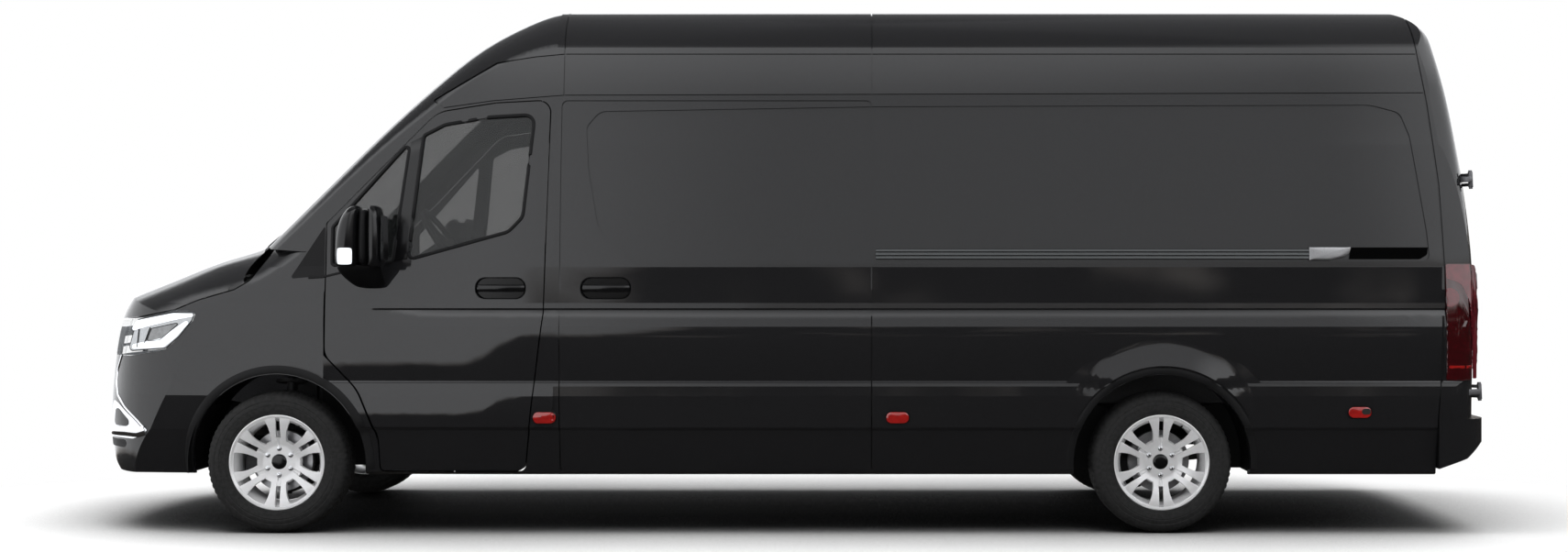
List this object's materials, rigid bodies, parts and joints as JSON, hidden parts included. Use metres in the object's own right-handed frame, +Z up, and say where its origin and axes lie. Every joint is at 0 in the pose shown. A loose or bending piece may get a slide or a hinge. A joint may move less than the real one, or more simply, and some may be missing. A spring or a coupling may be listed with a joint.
{
  "type": "minibus",
  "caption": "Long high-roofed minibus body with hinged cab doors, sliding side doors, twin rear doors, a bonnet that lifts and wheels that roll and steer.",
  "frame": {"origin": "on the ground, midway along and across the vehicle", "axes": "+Z up, the front faces -X, the vehicle's left side is -Y"},
  "size_m": [6.9674, 2.524, 2.615],
  "materials": {
    "body_paint": "gloss dark grey metallic paint",
    "window_glass": "clear, lightly tinted",
    "black_trim": "grained black moulding",
    "chassis_steel": "satin black underbody paint",
    "tyre": "black rubber with road tread",
    "wheel_alloy": "silver lacquered alloy",
    "tail_lamp": "dark red lens",
    "lamp_glass": "clear polished lens",
    "cast_metal": "rough cast metal",
    "bare_steel": "brushed",
    "cabin_plastic": "fine-grained dark moulding",
    "seat_fabric": "dark woven cloth",
    "marker_red": "red lens"
  },
  "bodies": {
    "body": {"side_left": "body_paint", "side_right": "body_paint", "sliding_door_left": "body_paint", "sliding_door_right": "body_paint", "wing_left": "body_paint", "wing_right": "body_paint", "sail_trims": "black_trim", "roof_front": "body_paint", "roof_middle": "body_paint", "roof_rear": "body_paint", "rear_frame": "body_paint", "tail_lamps": "tail_lamp", "headlamps": "lamp_glass", "front_bumper": "body_paint", "grille": "black_trim", "windscreen": "window_glass", "rear_bumper": "body_paint", "cab_frame": "chassis_steel", "cowl": "black_trim", "floor_pan": "chassis_steel", "wheel_liners": "black_trim", "front_axle": "chassis_steel", "front_struts": "chassis_steel", "rear_axle": "chassis_steel", "engine": "cast_metal", "driveline": "cast_metal", "exhaust": "bare_steel", "fuel_tank": "black_trim", "dashboard": "cabin_plastic", "steering_wheel": "cabin_plastic", "driver_seat": "seat_fabric", "passenger_seat": "seat_fabric", "seat_bases": "cabin_plastic", "side_markers": "marker_red", "door_rails": "bare_steel"},
    "front_door_left": {"front_door_left": "body_paint", "door_glass_left": "window_glass", "mirror_left": "black_trim"},
    "rear_door_left": {"rear_door_left": "body_paint"},
    "steering_left": {"knuckle_left": "chassis_steel"},
    "wheel_front_left": {"tyre_front_left": "tyre", "rim_front_left": "wheel_alloy"},
    "wheel_rear_left": {"tyre_rear_left": "tyre", "rim_rear_left": "wheel_alloy"},
    "front_door_right": {"front_door_right": "body_paint", "door_glass_right": "window_glass", "mirror_right": "black_trim"},
    "rear_door_right": {"rear_door_right": "body_paint"},
    "steering_right": {"knuckle_right": "chassis_steel"},
    "wheel_front_right": {"tyre_front_right": "tyre", "rim_front_right": "wheel_alloy"},
    "wheel_rear_right": {"tyre_rear_right": "tyre", "rim_rear_right": "wheel_alloy"},
    "bonnet": {"bonnet": "body_paint"}
  },
  "joints": [
    {"name": "front_door_left_hinge", "type": "hinge", "parent": "body", "child": "front_door_left", "pos_m": [-2.215, -0.985, 1], "axis": [0, 0, -1], "range_deg": [0, 70]},
    {"name": "rear_door_left_hinge", "type": "hinge", "parent": "body", "child": "rear_door_left", "pos_m": [3.44, -0.908, 0.69], "axis": [0.0423, 0, -0.9991], "range_deg": [0, 180]},
    {"name": "steer_left", "type": "hinge", "parent": "body", "child": "steering_left", "pos_m": [-2.4525, -0.768, 0.212], "axis": [0, 0.1533, 0.9882], "range_deg": [-35, 35]},
    {"name": "wheel_front_left_spin", "type": "hinge", "parent": "steering_left", "child": "wheel_front_left", "pos_m": [-2.4525, -0.855, 0.345], "axis": [0, 1, 0], "continuous": true},
    {"name": "wheel_rear_left_spin", "type": "hinge", "parent": "body", "child": "wheel_rear_left", "pos_m": [1.8725, -0.855, 0.345], "axis": [0, 1, 0], "continuous": true},
    {"name": "front_door_right_hinge", "type": "hinge", "parent": "body", "child": "front_door_right", "pos_m": [-2.215, 0.985, 1], "axis": [0, 0, 1], "range_deg": [0, 70]},
    {"name": "rear_door_right_hinge", "type": "hinge", "parent": "body", "child": "rear_door_right", "pos_m": [3.44, 0.908, 0.69], "axis": [-0.0423, 0, 0.9991], "range_deg": [0, 180]},
    {"name": "steer_right", "type": "hinge", "parent": "body", "child": "steering_right", "pos_m": [-2.4525, 0.768, 0.212], "axis": [0, -0.1533, 0.9882], "range_deg": [-35, 35]},
    {"name": "wheel_front_right_spin", "type": "hinge", "parent": "steering_right", "child": "wheel_front_right", "pos_m": [-2.4525, 0.855, 0.345], "axis": [0, 1, 0], "continuous": true},
    {"name": "wheel_rear_right_spin", "type": "hinge", "parent": "body", "child": "wheel_rear_right", "pos_m": [1.8725, 0.855, 0.345], "axis": [0, 1, 0], "continuous": true},
    {"name": "bonnet_hinge", "type": "hinge", "parent": "body", "child": "bonnet", "pos_m": [-2.47, 0, 1.42], "axis": [0, 1, 0], "range_deg": [0, 50]}
  ],
  "couplings": [
    {"joint": "steer_right", "follows": "steer_left", "ratio": 1}
  ]
}
